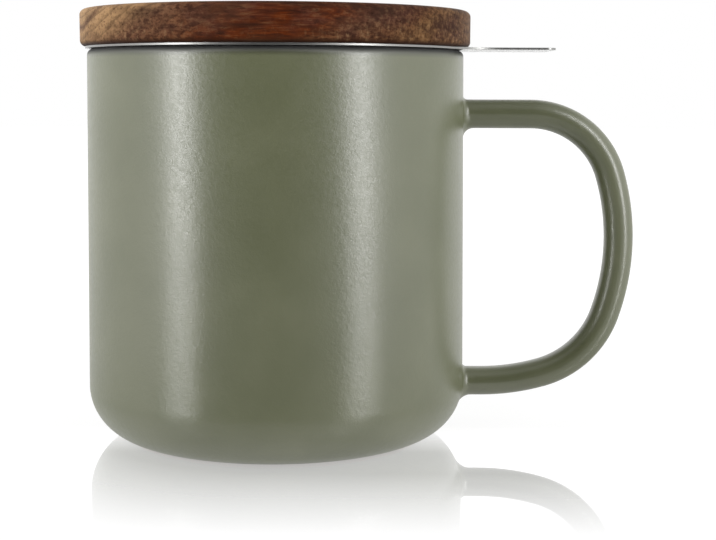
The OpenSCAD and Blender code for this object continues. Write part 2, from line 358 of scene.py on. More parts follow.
def infuser_rim_mesh():
    """Flange and tab in one sheet, with the collar, ledge and skirt drawn down from it."""
    bm = bmesh.new()
    collar_in = COLLAR_R - SHEET
    skirt_in = BASKET_R + LAP_GAP
    skirt_out = skirt_in + SHEET
    ledge_z = MUG_H - COLLAR_H
    skirt_z = ledge_z - FOLD - LAP
    mouth = COLLAR_R + LIP
    fold_out = FOLD + SHEET
    outline(bm, [
        (mouth, LID_Z), (collar_in, LID_Z, LIP + SHEET, 8),
        (collar_in, ledge_z + SHEET, FOLD, 6), (skirt_in, ledge_z + SHEET, fold_out, 6),
        (skirt_in, skirt_z), (skirt_out, skirt_z),
        (skirt_out, ledge_z, FOLD, 6), (COLLAR_R, ledge_z, fold_out, 6),
        (COLLAR_R, MUG_H, LIP, 8), (mouth, MUG_H),
    ])
    open_end = [e for e in bm.edges if min(v.co.x for v in e.verts) > mouth - WELD]
    bmesh.ops.delete(bm, geom=open_end, context="EDGES")
    spin_round(bm)
    mouth_edges = [e for e in bm.edges if e.is_boundary]
    low_edge = flange_outline(bm, MUG_H)
    high_verts, high_edge = extruded(bm, low_edge)
    bmesh.ops.translate(bm, vec=(0, 0, SHEET), verts=high_verts)
    for z, outer in ((MUG_H, low_edge), (LID_Z, high_edge)):
        inner = [e for e in mouth_edges if abs(e.verts[0].co.z - z) < SHEET / 4]
        bmesh.ops.triangle_fill(bm, use_beauty=True, use_dissolve=False, edges=outer + inner)
    return bm


def perforated_cell(bm, height):
    """One cell of perforated sheet: six points round it and a round hole in its middle."""
    made = bmesh.ops.create_grid(bm, x_segments=2, y_segments=1, size=0.5)
    bmesh.ops.scale(bm, vec=(HOLE_PITCH, height, 1), verts=made["verts"])
    middle = [e for e in bm.edges if not e.is_boundary]
    bmesh.ops.dissolve_edges(bm, edges=middle, use_verts=False)
    bmesh.ops.delete(bm, geom=bm.faces[:], context="FACES_ONLY")
    bmesh.ops.create_circle(bm, segments=HOLE_SIDES, radius=HOLE_R)
    bmesh.ops.triangle_fill(bm, use_beauty=True, use_dissolve=False, edges=bm.edges[:])


def moved_copy(bm, geom, step):
    """Copies geometry, moves the copy by a step and returns it."""
    made = bmesh.ops.duplicate(bm, geom=geom)["geom"]
    bmesh.ops.translate(bm, vec=step, verts=verts_of(made))
    return made


def all_geom(bm):
    """Every vert, edge and face of the bmesh."""
    return bm.verts[:] + bm.edges[:] + bm.faces[:]


def rolled(bm, radius, low_z):
    """Rolls a flat sheet, its length along X and its height along Y, to a radius about the Z axis."""
    for vert in bm.verts:
        angle = vert.co.x / radius
        vert.co = (radius * math.cos(angle), radius * math.sin(angle), low_z + vert.co.y)


def infuser_wall_mesh():
    """The rolled sheet of the basket, perforated in a staggered pattern."""
    bm = bmesh.new()
    margin = LAP + WALL_MARGIN
    low_z = BASKET_Z + margin
    high_z = WALL_TOP_Z - margin
    rows = round((high_z - low_z) / ROW_PITCH)
    row_h = (high_z - low_z) / rows
    perforated_cell(bm, row_h)
    bmesh.ops.translate(bm, vec=(HOLE_PITCH / 2, row_h / 2, 0), verts=bm.verts[:])
    last = all_geom(bm)
    for _ in range(PITCH_COUNT - 1):
        last = moved_copy(bm, last, (HOLE_PITCH, 0, 0))
    last = all_geom(bm)
    for index in range(1, rows):
        shift = HOLE_PITCH / 2 if index % 2 else -HOLE_PITCH / 2
        last = moved_copy(bm, last, (shift, row_h, 0))
    bmesh.ops.remove_doubles(bm, verts=bm.verts[:], dist=WELD)
    rolled(bm, BASKET_R, low_z)
    bmesh.ops.remove_doubles(bm, verts=bm.verts[:], dist=WELD)
    for z, target in ((low_z, BASKET_Z), (high_z, WALL_TOP_Z)):
        edge = [e for e in bm.edges if e.is_boundary
                and all(abs(v.co.z - z) < WELD for v in e.verts)]
        verts, _ = extruded(bm, edge)
        bmesh.ops.translate(bm, vec=(0, 0, target - z), verts=verts)
    return bm


def infuser_seam_mesh():
    """The lap inside the basket where its sheet closes, held by a row of spot welds."""
    bm = bmesh.new()
    low_z = BASKET_Z + LAP + SEAM_ABOVE_PAN
    height = WALL_TOP_Z - low_z
    bmesh.ops.create_grid(bm, x_segments=SEAM_COLUMNS, y_segments=SEAM_ROWS * WELD_COUNT,
                          size=0.5)
    bmesh.ops.scale(bm, vec=(SEAM_W, height, 1), verts=bm.verts[:])
    bmesh.ops.translate(bm, vec=(0, height / 2, 0), verts=bm.verts[:])
    inner_r = BASKET_R - MESH_SHEET - LAP_GAP
    weld_step = height / WELD_COUNT
    dips = {}
    for vert in bm.verts:
        along = (vert.co.y % weld_step) - weld_step / 2
        from_weld = math.hypot(vert.co.x, along) / WELD_R
        dips[vert] = WELD_DEPTH * max(0.0, 1 - from_weld ** 2)
    rolled(bm, inner_r, low_z)
    for vert, dip in dips.items():
        flat = Vector((vert.co.x, vert.co.y, 0)).normalized()
        vert.co += flat * dip
    bmesh.ops.rotate(bm, cent=(0, 0, 0), matrix=Matrix.Rotation(SEAM_ANGLE, 3, "Z"),
                     verts=bm.verts[:])
    return bm


def infuser_floor_mesh():
    """A perforated pan with a turned-up edge."""
    bm = bmesh.new()
    flat_r = BASKET_R - MESH_SHEET - LAP_GAP - MESH_SHEET - FOLD
    holes_r = flat_r - PAN_MARGIN
    perforated_cell(bm, ROW_PITCH)
    cell = all_geom(bm)
    rows = int(holes_r / ROW_PITCH)
    for row in range(-rows, rows + 1):
        for column in range(-rows, rows + 1):
            x = (column + (row % 2) / 2) * HOLE_PITCH
            y = row * ROW_PITCH
            if math.hypot(abs(x) + HOLE_PITCH / 2, abs(y) + ROW_PITCH / 2) <= holes_r:
                moved_copy(bm, cell, (x, y, 0))
    bmesh.ops.delete(bm, geom=verts_of(cell), context="VERTS")
    bmesh.ops.remove_doubles(bm, verts=bm.verts[:], dist=WELD)
    # a hole's edges are much shorter than those round a cell
    patch_edge = [e for e in bm.edges if e.is_boundary and e.calc_length() > HOLE_R * 0.6]
    bmesh.ops.create_circle(bm, segments=PAN_STEPS, radius=flat_r)
    edges = [e for e in bm.edges if e.is_wire]
    bmesh.ops.triangle_fill(bm, use_beauty=True, use_dissolve=False, edges=patch_edge + edges)
    fold_out = FOLD + MESH_SHEET
    fold_steps = 6
    for step in range(1, fold_steps + 1):
        angle = math.pi / 2 * step / fold_steps
        verts, edges = extruded(bm, edges)
        for vert in verts:
            flat = Vector((vert.co.x, vert.co.y)).normalized()
            flat *= flat_r + fold_out * math.sin(angle)
            vert.co = (flat.x, flat.y, fold_out * (1 - math.cos(angle)))
    verts, _ = extruded(bm, edges)
    for vert in verts:
        vert.co.z = LAP
    bmesh.ops.translate(bm, vec=(0, 0, BASKET_Z), verts=bm.verts[:])
    return bm


# ---------------------------------------------------------------- lid


def lid_disc_mesh():
    """The turned lid: a disc with a plug under it, grooved for the seal."""
    groove_r = PLUG_R - GROOVE_DEPTH
    return turned([
        (0, PLUG_Z), (PLUG_R, PLUG_Z, PLUG_ROUND, 5),
        (PLUG_R, GROOVE_Z), (groove_r, GROOVE_Z),
        (groove_r, GROOVE_Z + GROOVE_H), (PLUG_R, GROOVE_Z + GROOVE_H),
        (PLUG_R, LID_Z), (LID_R, LID_Z, LID_LOW_ROUND, 8),
        (LID_R, LID_TOP_Z, LID_TOP_ROUND, 8), (0, LID_TOP_Z),
    ])


def lid_seal_mesh():
    """A ring with two fins, set in the groove of the plug."""
    ring_r = PLUG_R - GROOVE_DEPTH + LAP_GAP
    low = GROOVE_Z + LAP_GAP
    high = GROOVE_Z + GROOVE_H - LAP_GAP
    tip = FIN_T * 0.49
    return turned([
        (ring_r, low), (FIN_R, low, tip, 4), (FIN_R, low + FIN_T, tip, 4),
        (PLUG_R, low + FIN_T, FIN_ROOT_R, 3), (PLUG_R, high - FIN_T, FIN_ROOT_R, 3),
        (FIN_R, high - FIN_T, tip, 4), (FIN_R, high, tip, 4), (ring_r, high),
    ])


# ---------------------------------------------------------------- shader helpers


def put(tree, socket, item):
    """Sets a socket to a number or a colour, or links another socket to it."""
    if isinstance(item, (int, float)):
        socket.default_value = item
    elif isinstance(item, tuple):
        socket.default_value = (*item, 1)
    else:
        tree.links.new(item, socket)


def noise(tree, place, scale, detail=2.0, roughness=0.5, distortion=0.0):
    made = tree.nodes.new("ShaderNodeTexNoise")
    for label, item in (("Scale", scale), ("Detail", detail),
                        ("Roughness", roughness), ("Distortion", distortion)):
        put(tree, made.inputs[label], item)
    tree.links.new(place, made.inputs["Vector"])
    return made.outputs["Fac"]


def drawn_noise(tree, place, scales, detail, roughness=0.5, distortion=0.0, turn=(0, 0, 0)):
    """Noise with its own scale along each axis, so that its spots are drawn out one way."""
    made = tree.nodes.new("ShaderNodeMapping")
    made.inputs["Rotation"].default_value = [math.radians(angle) for angle in turn]
    made.inputs["Scale"].default_value = scales
    tree.links.new(place, made.inputs["Vector"])
    return noise(tree, made.outputs["Vector"], 1.0, detail, roughness, distortion)


def ramp(tree, value, stops):
    """A colour ramp over (position, colour) stops; colours are linear."""
    made = tree.nodes.new("ShaderNodeValToRGB")
    points = made.color_ramp.elements
    while len(points) < len(stops):
        points.new(0.5)
    for point, (position, colour) in zip(points, stops):
        point.position = position
        point.color = (*colour, 1)
    tree.links.new(value, made.inputs["Fac"])
    return made.outputs["Color"]


def spread(tree, value, low, high, to_low=0.0, to_high=1.0):
    """Maps one range of a value onto another, clamped."""
    made = tree.nodes.new("ShaderNodeMapRange")
    tree.links.new(value, made.inputs["Value"])
    for label, number in (("From Min", low), ("From Max", high),
                          ("To Min", to_low), ("To Max", to_high)):
        made.inputs[label].default_value = number
    return made.outputs["Result"]


def math_of(tree, operation, a, b=0.0):
    made = tree.nodes.new("ShaderNodeMath")
    made.operation = operation
    put(tree, made.inputs[0], a)
    put(tree, made.inputs[1], b)
    return made.outputs["Value"]


def plus(tree, a, b):
    return math_of(tree, "ADD", a, b)


def minus(tree, a, b):
    return math_of(tree, "SUBTRACT", a, b)


def times(tree, a, b):
    return math_of(tree, "MULTIPLY", a, b)


def larger(tree, a, b):
    return math_of(tree, "MAXIMUM", a, b)


def size_of(tree, value):
    """A value without its sign."""
    return math_of(tree, "ABSOLUTE", value)


def distance(tree, a, b):
    """How far a point with these two coordinates is from their origin."""
    return math_of(tree, "SQRT", plus(tree, times(tree, a, a), times(tree, b, b)))


def mixed(tree, factor, a, b):
    """A colour that goes from a to b as the factor goes from 0 to 1."""
    made = tree.nodes.new("ShaderNodeMix")
    made.data_type = "RGBA"
    # the colour sockets of this node share their names with its other kinds
    for index, item in ((0, factor), (6, a), (7, b)):
        put(tree, made.inputs[index], item)
    return made.outputs[2]


def tinted(tree, colour, mask, share, tint):
    """Lays a share of a tint over a colour where a mask is 1."""
    return mixed(tree, times(tree, mask, share), colour, tint)


def axes_of(tree, place):
    made = tree.nodes.new("ShaderNodeSeparateXYZ")
    tree.links.new(place, made.inputs["Vector"])
    return made.outputs["X"], made.outputs["Y"], made.outputs["Z"]


def bump(tree, height, strength, distance_m, below=None):
    """A normal from a height, on top of another normal where one is given."""
    made = tree.nodes.new("ShaderNodeBump")
    made.inputs["Strength"].default_value = strength
    made.inputs["Distance"].default_value = distance_m
    tree.links.new(height, made.inputs["Height"])
    if below is not None:
        tree.links.new(below, made.inputs["Normal"])
    return made.outputs["Normal"]


def finish_shader(tree, shader, colour, rough, normal):
    """Links a finished colour, roughness and normal to the shader."""
    tree.links.new(colour, shader.inputs["Base Color"])
    tree.links.new(rough, shader.inputs["Roughness"])
    tree.links.new(normal, shader.inputs["Normal"])


def new_material(name):
    material = bpy.data.materials.new(name)
    material.use_nodes = True
    tree = material.node_tree
    place = tree.nodes.new("ShaderNodeTexCoord").outputs["Object"]
    return material, tree, tree.nodes["Principled BSDF"], place


# ---------------------------------------------------------------- shared effects


def new_group(name, inputs, outputs):
    group = bpy.data.node_groups.new(name, "ShaderNodeTree")
    for label, kind in inputs:
        group.interface.new_socket(name=label, in_out="INPUT", socket_type=kind)
    for label, kind in outputs:
        group.interface.new_socket(name=label, in_out="OUTPUT", socket_type=kind)
    start = group.nodes.new("NodeGroupInput")
    return group, start.outputs, group.nodes.new("NodeGroupOutput").inputs


def mottle_group():
    """Soft clouds: a mask that drifts between 0 and 1 over the surface."""
    group, given, out = new_group(
        "mottle", [("Place", "NodeSocketVector"), ("Scale", "NodeSocketFloat"),
                   ("Contrast", "NodeSocketFloat")], [("Mask", "NodeSocketFloat")])
    cloud = noise(group, given["Place"], given["Scale"], 3.0)
    mask = plus(group, times(group, minus(group, cloud, 0.5), given["Contrast"]), 0.5)
    mask.node.use_clamp = True
    group.links.new(mask, out["Mask"])
    return group


def grain_group():
    """Fine grain: a height of two sizes of noise, one three times as fine as the other."""
    group, given, out = new_group(
        "grain", [("Place", "NodeSocketVector"), ("Scale", "NodeSocketFloat")],
        [("Height", "NodeSocketFloat")])
    coarse = noise(group, given["Place"], given["Scale"], 2.0, 0.6)
    fine = noise(group, given["Place"], times(group, given["Scale"], 3.0), 1.0)
    height = plus(group, times(group, coarse, 0.7), times(group, fine, 0.3))
    group.links.new(height, out["Height"])
    return group


def edge_wear_group():
    """Wear along edges: a mask that is 1 on convex edges and broken up between them."""
    group, given, out = new_group(
        "edge_wear", [("Place", "NodeSocketVector"), ("Scale", "NodeSocketFloat"),
                      ("Reach", "NodeSocketFloat")], [("Mask", "NodeSocketFloat")])
    curve = group.nodes.new("ShaderNodeNewGeometry").outputs["Pointiness"]
    convex = math_of(group, "DIVIDE", minus(group, curve, 0.5), given["Reach"])
    patches = noise(group, given["Place"], given["Scale"], 3.0, 0.6)
    mask = times(group, convex, spread(group, patches, 0.35, 0.65))
    mask.node.use_clamp = True
    group.links.new(mask, out["Mask"])
    return group


MOTTLE = mottle_group()
GRAIN = grain_group()
EDGE_WEAR = edge_wear_group()


def effect(tree, group, place, **values):
    """Places a shared effect in a material with its own values and returns its output."""
    made = tree.nodes.new("ShaderNodeGroup")
    made.node_tree = group
    tree.links.new(place, made.inputs["Place"])
    for label, number in values.items():
        made.inputs[label].default_value = number
    return made.outputs[0]


# ---------------------------------------------------------------- glaze

SAGE = (0.141, 0.152, 0.079)
SAGE_DEEP = (0.129, 0.140, 0.070)
SAGE_PALE = (0.161, 0.171, 0.094)
SAGE_FLOOR_REFLECTION = (0.240, 0.250, 0.155)
# Painted reflection: the glaze is painted paler from the second height down to the first, for the
# bright floor that its gloss mirrors there
FLOOR_REFLECTION_Z = (0.3 * MM, 2.6 * MM)
# Painted shade: the outside of the lip is painted near black where the infuser's flange overhangs and
# shades it: its heights and its radii
LIP_SHADE = (0.003, 0.003, 0.002)
LIP_SHADE_Z = (MUG_H - 2.3 * MM, MUG_H - 0.7 * MM)
LIP_SHADE_R = (RIM_R - 1.7 * MM, RIM_R - 1.2 * MM)
BARE_CLAY = (0.520, 0.440, 0.335)
BARE_CLAY_DARK = tuple(0.8 * share for share in BARE_CLAY)
# The glaze is wiped off the foot ring up to this height, give or take, with a soft edge
WIPED_Z = 0.35 * MM
WIPED_PLAY = 0.15 * MM
WIPED_EDGE = 0.08 * MM
# The handle is smoother than the body, past this stretch of X
SMOOTHER = (46.0 * MM, 50.0 * MM)


def glaze_material():
    """Satin sage glaze with slow mottling and a fine grain, wiped off the foot ring."""
    material, tree, shader, place = new_material("sage_glaze")
    shader.inputs["IOR"].default_value = 1.6
    shader.inputs["Specular IOR Level"].default_value = 1.0
    x, y, z = axes_of(tree, place)
    clouds = effect(tree, MOTTLE, place, Scale=45.0, Contrast=2.2)
    colour = ramp(tree, clouds, [(0.1, SAGE_DEEP), (0.5, SAGE), (0.9, SAGE_PALE)])
    specks = noise(tree, place, 1500, 1.0)
    colour = mixed(tree, spread(tree, specks, 0.58, 0.75, 0.0, 0.25), colour, SAGE_PALE)
    worn = effect(tree, EDGE_WEAR, place, Scale=300.0, Reach=0.12)
    colour = tinted(tree, colour, worn, 0.25, SAGE_PALE)
    # painted reflection of the bright floor, paler towards the foot
    colour = mixed(tree, spread(tree, z, *FLOOR_REFLECTION_Z, 1.0, 0.0), colour, SAGE_FLOOR_REFLECTION)
    # painted shade along the outside of the lip, under the flange
    lip_shade = times(tree, spread(tree, z, *LIP_SHADE_Z),
                     spread(tree, distance(tree, x, y), *LIP_SHADE_R))
    colour = tinted(tree, colour, lip_shade, 0.99, LIP_SHADE)
    play = spread(tree, noise(tree, place, 220, 3.0), 0.0, 1.0, -WIPED_PLAY, WIPED_PLAY)
    bare = spread(tree, plus(tree, z, play), WIPED_Z, WIPED_Z + WIPED_EDGE, 1.0, 0.0)
    clay_grain = effect(tree, GRAIN, place, Scale=2600.0)
    clay = mixed(tree, spread(tree, clay_grain, 0.35, 0.65), BARE_CLAY, BARE_CLAY_DARK)
    colour = mixed(tree, bare, colour, clay)
    grain = effect(tree, GRAIN, place, Scale=1000.0)
    rough = larger(tree, spread(tree, grain, 0.25, 0.75, 0.28, 0.40), times(tree, bare, 0.85))
    rough = larger(tree, rough, times(tree, lip_shade, 0.8))
    waves = effect(tree, MOTTLE, place, Scale=90.0, Contrast=1.0)
    relief = times(tree, grain, spread(tree, x, *SMOOTHER, 1.0, 0.3))
    normal = bump(tree, relief, 0.6, 0.08 * MM, bump(tree, waves, 0.12, 0.05 * MM))
    finish_shader(tree, shader, colour, rough, normal)
    return material


# ---------------------------------------------------------------- steel

STEEL_DEEP = (0.66, 0.66, 0.65)
STEEL_PALE = (0.74, 0.74, 0.73)
STEEL_WORN = (0.82, 0.82, 0.81)
# The cut edge of the flange and tab is duller than the sheet's faces and is painted darker as painted
# shade, past these radii
CUT_EDGE_AND_SHADE = (0.29, 0.29, 0.28)
CUT_EDGE_AND_SHADE_R = (FLANGE_R - 0.7 * MM, FLANGE_R - 0.4 * MM)


def steel_material():
    """Stainless steel, finely brushed round the axis, duller on its cut edge and painted darker there
    as shade.
    """
    material, tree, shader, place = new_material("stainless_steel")
    shader.inputs["Metallic"].default_value = 1.0
    x, y, z = axes_of(tree, place)
    from_axis = distance(tree, x, y)
    brushed = tree.nodes.new("ShaderNodeCombineXYZ")
    tree.links.new(from_axis, brushed.inputs["X"])
    tree.links.new(z, brushed.inputs["Z"])
    lines = noise(tree, brushed.outputs["Vector"], 3500, 2.0)
    clouds = effect(tree, MOTTLE, place, Scale=60.0, Contrast=2.0)
    colour = ramp(tree, clouds, [(0.2, STEEL_DEEP), (0.8, STEEL_PALE)])
    worn = effect(tree, EDGE_WEAR, place, Scale=200.0, Reach=0.2)
    colour = tinted(tree, colour, worn, 0.5, STEEL_WORN)
    facing = tree.nodes.new("ShaderNodeNewGeometry").outputs["Normal"]
    level = size_of(tree, axes_of(tree, facing)[2])
    # the cut edge: rougher, and painted darker as painted shade
    cut_edge_and_shade = times(tree, spread(tree, level, 0.8, 0.5), spread(tree, from_axis, *CUT_EDGE_AND_SHADE_R))
    colour = tinted(tree, colour, cut_edge_and_shade, 0.85, CUT_EDGE_AND_SHADE)
    rough = plus(tree, spread(tree, lines, 0.3, 0.7, 0.17, 0.29), times(tree, clouds, 0.06))
    rough = plus(tree, rough, times(tree, cut_edge_and_shade, 0.12))
    finish_shader(tree, shader, colour, rough, bump(tree, lines, 0.08, 0.015 * MM))
    return material


# ---------------------------------------------------------------- wood

WOOD_DARK = (0.028, 0.008, 0.004)
WOOD_RED = (0.132, 0.024, 0.003)
WOOD_PLUM = (0.085, 0.030, 0.020)
WOOD_BROWN = (0.150, 0.060, 0.025)
WOOD_GOLD = (0.185, 0.092, 0.036)
WOOD_TAN = (0.560, 0.345, 0.170)
# Wood tones along the lid, at shares of its width from the left
WOOD_TONES = ((0.04, WOOD_TAN), (0.13, (0.45, 0.265, 0.125)), (0.22, (0.200, 0.090, 0.045)),
              (0.33, (0.160, 0.052, 0.018)), (0.42, WOOD_RED), (0.60, WOOD_RED),
              (0.70, WOOD_BROWN), (0.80, (0.135, 0.052, 0.021)), (0.90, WOOD_GOLD))
# How far the tones move along the lid for each millimetre up, and how far they wander
WOOD_SLANT = 1.2
WANDER = 6.0 * MM
# Sapwood starts at the first of these places along the tones and is pure at the second
SAPWOOD = (-24.0 * MM, -36.0 * MM)
# Plum clouds come in over this stretch past the sapwood, and cover the rest
PLUM_CLOUDS = (-30.0 * MM, -20.0 * MM)
# Middle of a plum patch on the upper half, and its half width, full and faded out
PLUM_X = 22.0 * MM
PLUM_HALF = (4.0 * MM, 12.0 * MM)
UPPER_HALF = (-2.0 * MM, 1.0 * MM)
# Curly figure is faint within the first distance of its calm middle and full past the second
CALM_X = -0.5 * MM
CURLY = (10.0 * MM, 20.0 * MM)
FLECK_TAN = tuple(0.85 * share for share in WOOD_TAN)
# The tree's heart runs along X, in front of the lid's middle and above it
HEART_Y = -14.0 * MM
HEART_Z = LID_Z + 26.3 * MM
RING_STEP = 2.6 * MM
# The dark vein in the sapwood follows one ring, this far from the heart, give or take
VEIN_R = 22.0 * MM
VEIN_PLAY = 0.5 * MM
VEIN_HALF = (0.2 * MM, 1.1 * MM)
# Painted shade: the lower edge, which faces down, is painted darker, fading out between these heights
SHADED_LOW_EDGE = (LID_Z + 0.275 * MM, LID_Z + 1.1 * MM)


def plum_mask(tree, place, along, up):
    """Plum clouds everywhere but in the sapwood, and one plum patch."""
    clouds = drawn_noise(tree, place, (60, 60, 130), 3.0, 0.6, turn=(0, 20, 0))
    clouds = times(tree, spread(tree, clouds, 0.50, 0.62),
                   spread(tree, along, *PLUM_CLOUDS, 0.0, 0.65))
    from_patch = size_of(tree, minus(tree, along, PLUM_X))
    patch = times(tree, spread(tree, from_patch, *PLUM_HALF, 0.8, 0.0),
                  spread(tree, up, *UPPER_HALF))
    return larger(tree, clouds, patch)


def curly_figure(tree, colour, place, along, up, sap):
    """Dark and light flecks, faint in the red heart; the dark ones are faint in the sapwood too."""
    curl = drawn_noise(tree, place, (950, 950, 700), 4.0, 0.7, 0.5)
    curly = spread(tree, size_of(tree, minus(tree, along, CALM_X)), *CURLY, 0.2, 1.0)
    dark = times(tree, spread(tree, curl, 0.50, 0.32), spread(tree, sap, 0.0, 1.0, 0.65, 0.15))
    colour = mixed(tree, times(tree, curly, dark), colour, WOOD_DARK)
    light = times(tree, spread(tree, curl, 0.52, 0.70), 0.55)
    # fewer light flecks in the upper half
    light = times(tree, light, spread(tree, up, *UPPER_HALF, 1.0, 0.35))
    return mixed(tree, times(tree, curly, light), colour, FLECK_TAN)


def growth_rings(tree, colour, place, bent, sap):
    """Dark late wood of the rings round the tree's heart, and a dark vein in the sapwood."""
    x, y, z = axes_of(tree, place)
    from_heart = distance(tree, minus(tree, y, HEART_Y), minus(tree, z, HEART_Z))
    drift = plus(tree, times(tree, bent, 9 * MM), times(tree, x, 0.06))
    ring = math_of(tree, "DIVIDE", plus(tree, from_heart, drift), RING_STEP)
    ring = math_of(tree, "FRACT", ring)
    late = times(tree, spread(tree, ring, 0.55, 0.95), spread(tree, ring, 1.0, 0.95))
    colour = tinted(tree, colour, late, 0.4, WOOD_DARK)
    play = spread(tree, noise(tree, place, 160, 3.0), 0.3, 0.7, -VEIN_PLAY, VEIN_PLAY)
    from_vein = size_of(tree, minus(tree, plus(tree, from_heart, play), VEIN_R))
    vein = times(tree, spread(tree, from_vein, *VEIN_HALF, 0.65, 0.0), sap)
    return mixed(tree, vein, colour, WOOD_PLUM)


def wood_material():
    """Oiled hardwood sawn along X: red heart, brown flanks, tan sapwood at one end, fine pores."""
    material, tree, shader, place = new_material("oiled_hardwood")
    shader.inputs["Specular IOR Level"].default_value = 0.07
    x, _, z = axes_of(tree, place)
    up = minus(tree, z, (LID_Z + LID_TOP_Z) / 2)
    bent = drawn_noise(tree, place, (14, 26, 60), 3.0, 0.55)
    wander = spread(tree, bent, 0.3, 0.7, -WANDER, WANDER)
    along = plus(tree, x, minus(tree, wander, times(tree, up, WOOD_SLANT)))
    sap = spread(tree, along, *SAPWOOD)
    colour = ramp(tree, spread(tree, along, -LID_R, LID_R), WOOD_TONES)
    colour = mixed(tree, plum_mask(tree, place, along, up), colour, WOOD_PLUM)
    colour = curly_figure(tree, colour, place, along, up, sap)
    colour = growth_rings(tree, colour, place, bent, sap)
    # dark bands and fibres, calmer in the sapwood, and light streaks between the fibres
    bands = drawn_noise(tree, place, (18, 120, 330), 3.0, 0.55, turn=(0, 3, 0))
    fibres = drawn_noise(tree, place, (110, 1200, 1200), 4.0, 0.65)
    calm = spread(tree, sap, 0.0, 1.0, 1.0, 0.55)
    banded = spread(tree, bands, 0.52, 0.36, 0.0, 0.65)
    colour = mixed(tree, times(tree, banded, calm), colour, WOOD_DARK)
    lined = spread(tree, fibres, 0.55, 0.36, 0.0, 0.7)
    colour = mixed(tree, times(tree, lined, calm), colour, WOOD_DARK)
    light_streak = mixed(tree, 0.2, WOOD_BROWN, WOOD_TAN)
    colour = mixed(tree, spread(tree, fibres, 0.53, 0.70, 0.0, 0.4), colour, light_streak)
    pore = spread(tree, drawn_noise(tree, place, (300, 2200, 2200), 1.0), 0.62, 0.72)
    colour = tinted(tree, colour, pore, 0.6, WOOD_DARK)
    # painted shade along the lower edge
    colour = mixed(tree, spread(tree, z, *SHADED_LOW_EDGE, 0.95, 0.0), colour, WOOD_DARK)
    worn = effect(tree, EDGE_WEAR, place, Scale=140.0, Reach=0.12)
    colour = tinted(tree, colour, worn, 0.2, WOOD_TAN)
    rough = plus(tree, spread(tree, fibres, 0.3, 0.7, 0.60, 0.50), times(tree, pore, 0.2))
    hollow = minus(tree, 1.0, pore)
    normal = bump(tree, hollow, 0.4, 0.12 * MM, bump(tree, fibres, 0.3, 0.10 * MM))
    finish_shader(tree, shader, colour, rough, normal)
    return material


# ---------------------------------------------------------------- silicone

SILICONE_DEEP = (0.60, 0.59, 0.55)
SILICONE_PALE = (0.70, 0.69, 0.65)


def seal_material():
    """Matt off-white silicone with a faint bloom."""
    material, tree, shader, place = new_material("silicone")
    bloom = effect(tree, MOTTLE, place, Scale=120.0, Contrast=2.0)
    colour = ramp(tree, bloom, [(0.2, SILICONE_DEEP), (0.8, SILICONE_PALE)])
    grain = effect(tree, GRAIN, place, Scale=1500.0)
    finish_shader(tree, shader, colour, spread(tree, bloom, 0.0, 1.0, 0.5, 0.62),
                  bump(tree, grain, 0.12, 0.04 * MM))
    return material


# ---------------------------------------------------------------- pieces


def thicken(piece):
    """Gives a piece of mesh sheet its thickness, inwards from its outer face."""
    solid = piece.modifiers.new("thickness", "SOLIDIFY")
    solid.thickness = MESH_SHEET
    solid.offset = -1


def ease_edges(piece):
    """Takes the sharpness off every sharp edge of a piece."""
    eased = piece.modifiers.new("eased_edges", "BEVEL")
    eased.width = EASED
    eased.segments = 2
    eased.limit_method = "ANGLE"
    eased.angle_limit = math.radians(50)


glaze = glaze_material()
steel = steel_material()
wood = wood_material()
silicone = seal_material()

piece_from(mug_body_mesh(), "mug", glaze, "mug", ["mug_body"])
piece_from(mug_handle_mesh(), "handle", glaze, "mug", ["mug_handle"])
rim = piece_from(infuser_rim_mesh(), "infuser_rim_ring", steel, "infuser", ["infuser_rim"])
ease_edges(rim)
basket = piece_from(infuser_wall_mesh(), "infuser_basket_wall", steel, "infuser",
                    ["infuser_wall"])
thicken(basket)
seam = piece_from(infuser_seam_mesh(), "infuser_basket_seam", steel, "infuser", [])
thicken(seam)
pan = piece_from(infuser_floor_mesh(), "infuser_basket_floor", steel, "infuser",
                 ["infuser_floor"])
thicken(pan)
piece_from(lid_disc_mesh(), "lid_wood", wood, "lid", ["lid_disc"])
piece_from(lid_seal_mesh(), "lid_seal_ring", silicone, "lid", ["lid_seal"])

# ---------------------------------------------------------------- camera and lamps

# The camera's place, and its dip and roll in degrees
CAMERA_AT = (0.01988, -0.36515, 0.08418)
CAMERA_DIP = 6.86
CAMERA_ROLL = 0.22
LENS_MM = 75.34
SENSOR_MM = 36
# The softboxes: how far off they stand, the height of their middles, and their size
LAMP_AWAY = 0.7
LAMP_Z = 0.38
LAMP_WIDTH = 0.10
LAMP_TALL = 0.75
# They lean by this many degrees, their lower ends towards +X
LAMP_LEAN = 10


def front_camera():
    data = bpy.data.cameras.new("camera")
    data.sensor_width = SENSOR_MM
    data.lens = LENS_MM
    camera = bpy.data.objects.new("camera", data)
    bpy.context.scene.collection.objects.link(camera)
    turn = (Matrix.Rotation(math.radians(90 - CAMERA_DIP), 4, "X")
            @ Matrix.Rotation(math.radians(CAMERA_ROLL), 4, "Z"))
    camera.matrix_world = Matrix.Translation(CAMERA_AT) @ turn
    bpy.context.scene.camera = camera


def softbox(name, azimuth, power):
    """A tall soft lamp that faces the mug; azimuth is turned from -Y towards +X, in degrees."""
    data = bpy.data.lights.new(name, "AREA")
    data.shape = "RECTANGLE"
    data.size = LAMP_WIDTH
    data.size_y = LAMP_TALL
    data.energy = power
    lamp = bpy.data.objects.new(name, data)
    bpy.context.scene.collection.objects.link(lamp)
    angle = math.radians(azimuth)
    lamp.location = (math.sin(angle) * LAMP_AWAY, -math.cos(angle) * LAMP_AWAY, LAMP_Z)
    aim = Vector((0, 0, LAMP_Z)) - lamp.location
    facing = aim.to_track_quat("-Z", "Y").to_matrix()
    lean = Matrix.Rotation(math.radians(LAMP_LEAN), 3, "Z")
    lamp.rotation_euler = (facing @ lean).to_euler()


